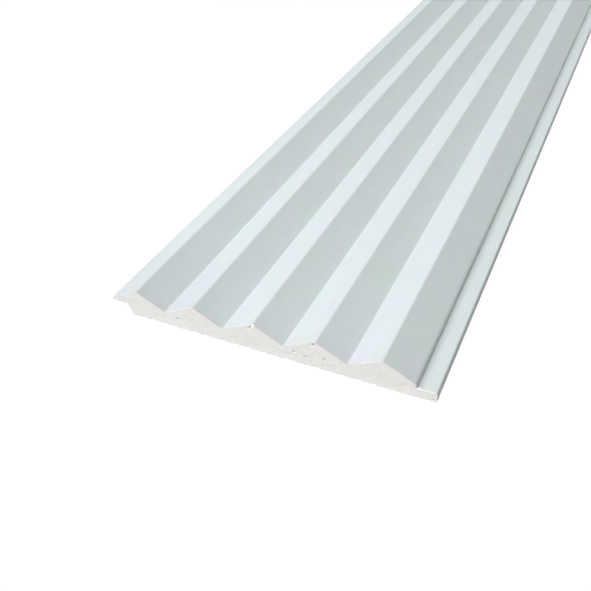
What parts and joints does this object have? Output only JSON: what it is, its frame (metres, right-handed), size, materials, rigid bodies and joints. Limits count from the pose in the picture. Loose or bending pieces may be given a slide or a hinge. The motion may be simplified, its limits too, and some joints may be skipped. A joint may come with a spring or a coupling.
{
  "type": "fluted wall panel",
  "caption": "Long flat-backed wall panel with sharp V flutes along its face, and a thin lip and a low ledge along its long edges that lap with the next panel.",
  "frame": {"origin": "middle of the panel's length and of its overall width, on the plane of its back", "axes": "+X across the flutes from the lip to the ledge, +Y along the length, +Z out of the face"},
  "size_m": [0.1264, 2.4, 0.0113],
  "materials": {
    "white_foam": "matte white skin of extruded foam, with an open-celled warm white foam at the cut ends"
  },
  "bodies": {
    "root": {"fluted_panel": "white_foam"}
  },
  "joints": []
}
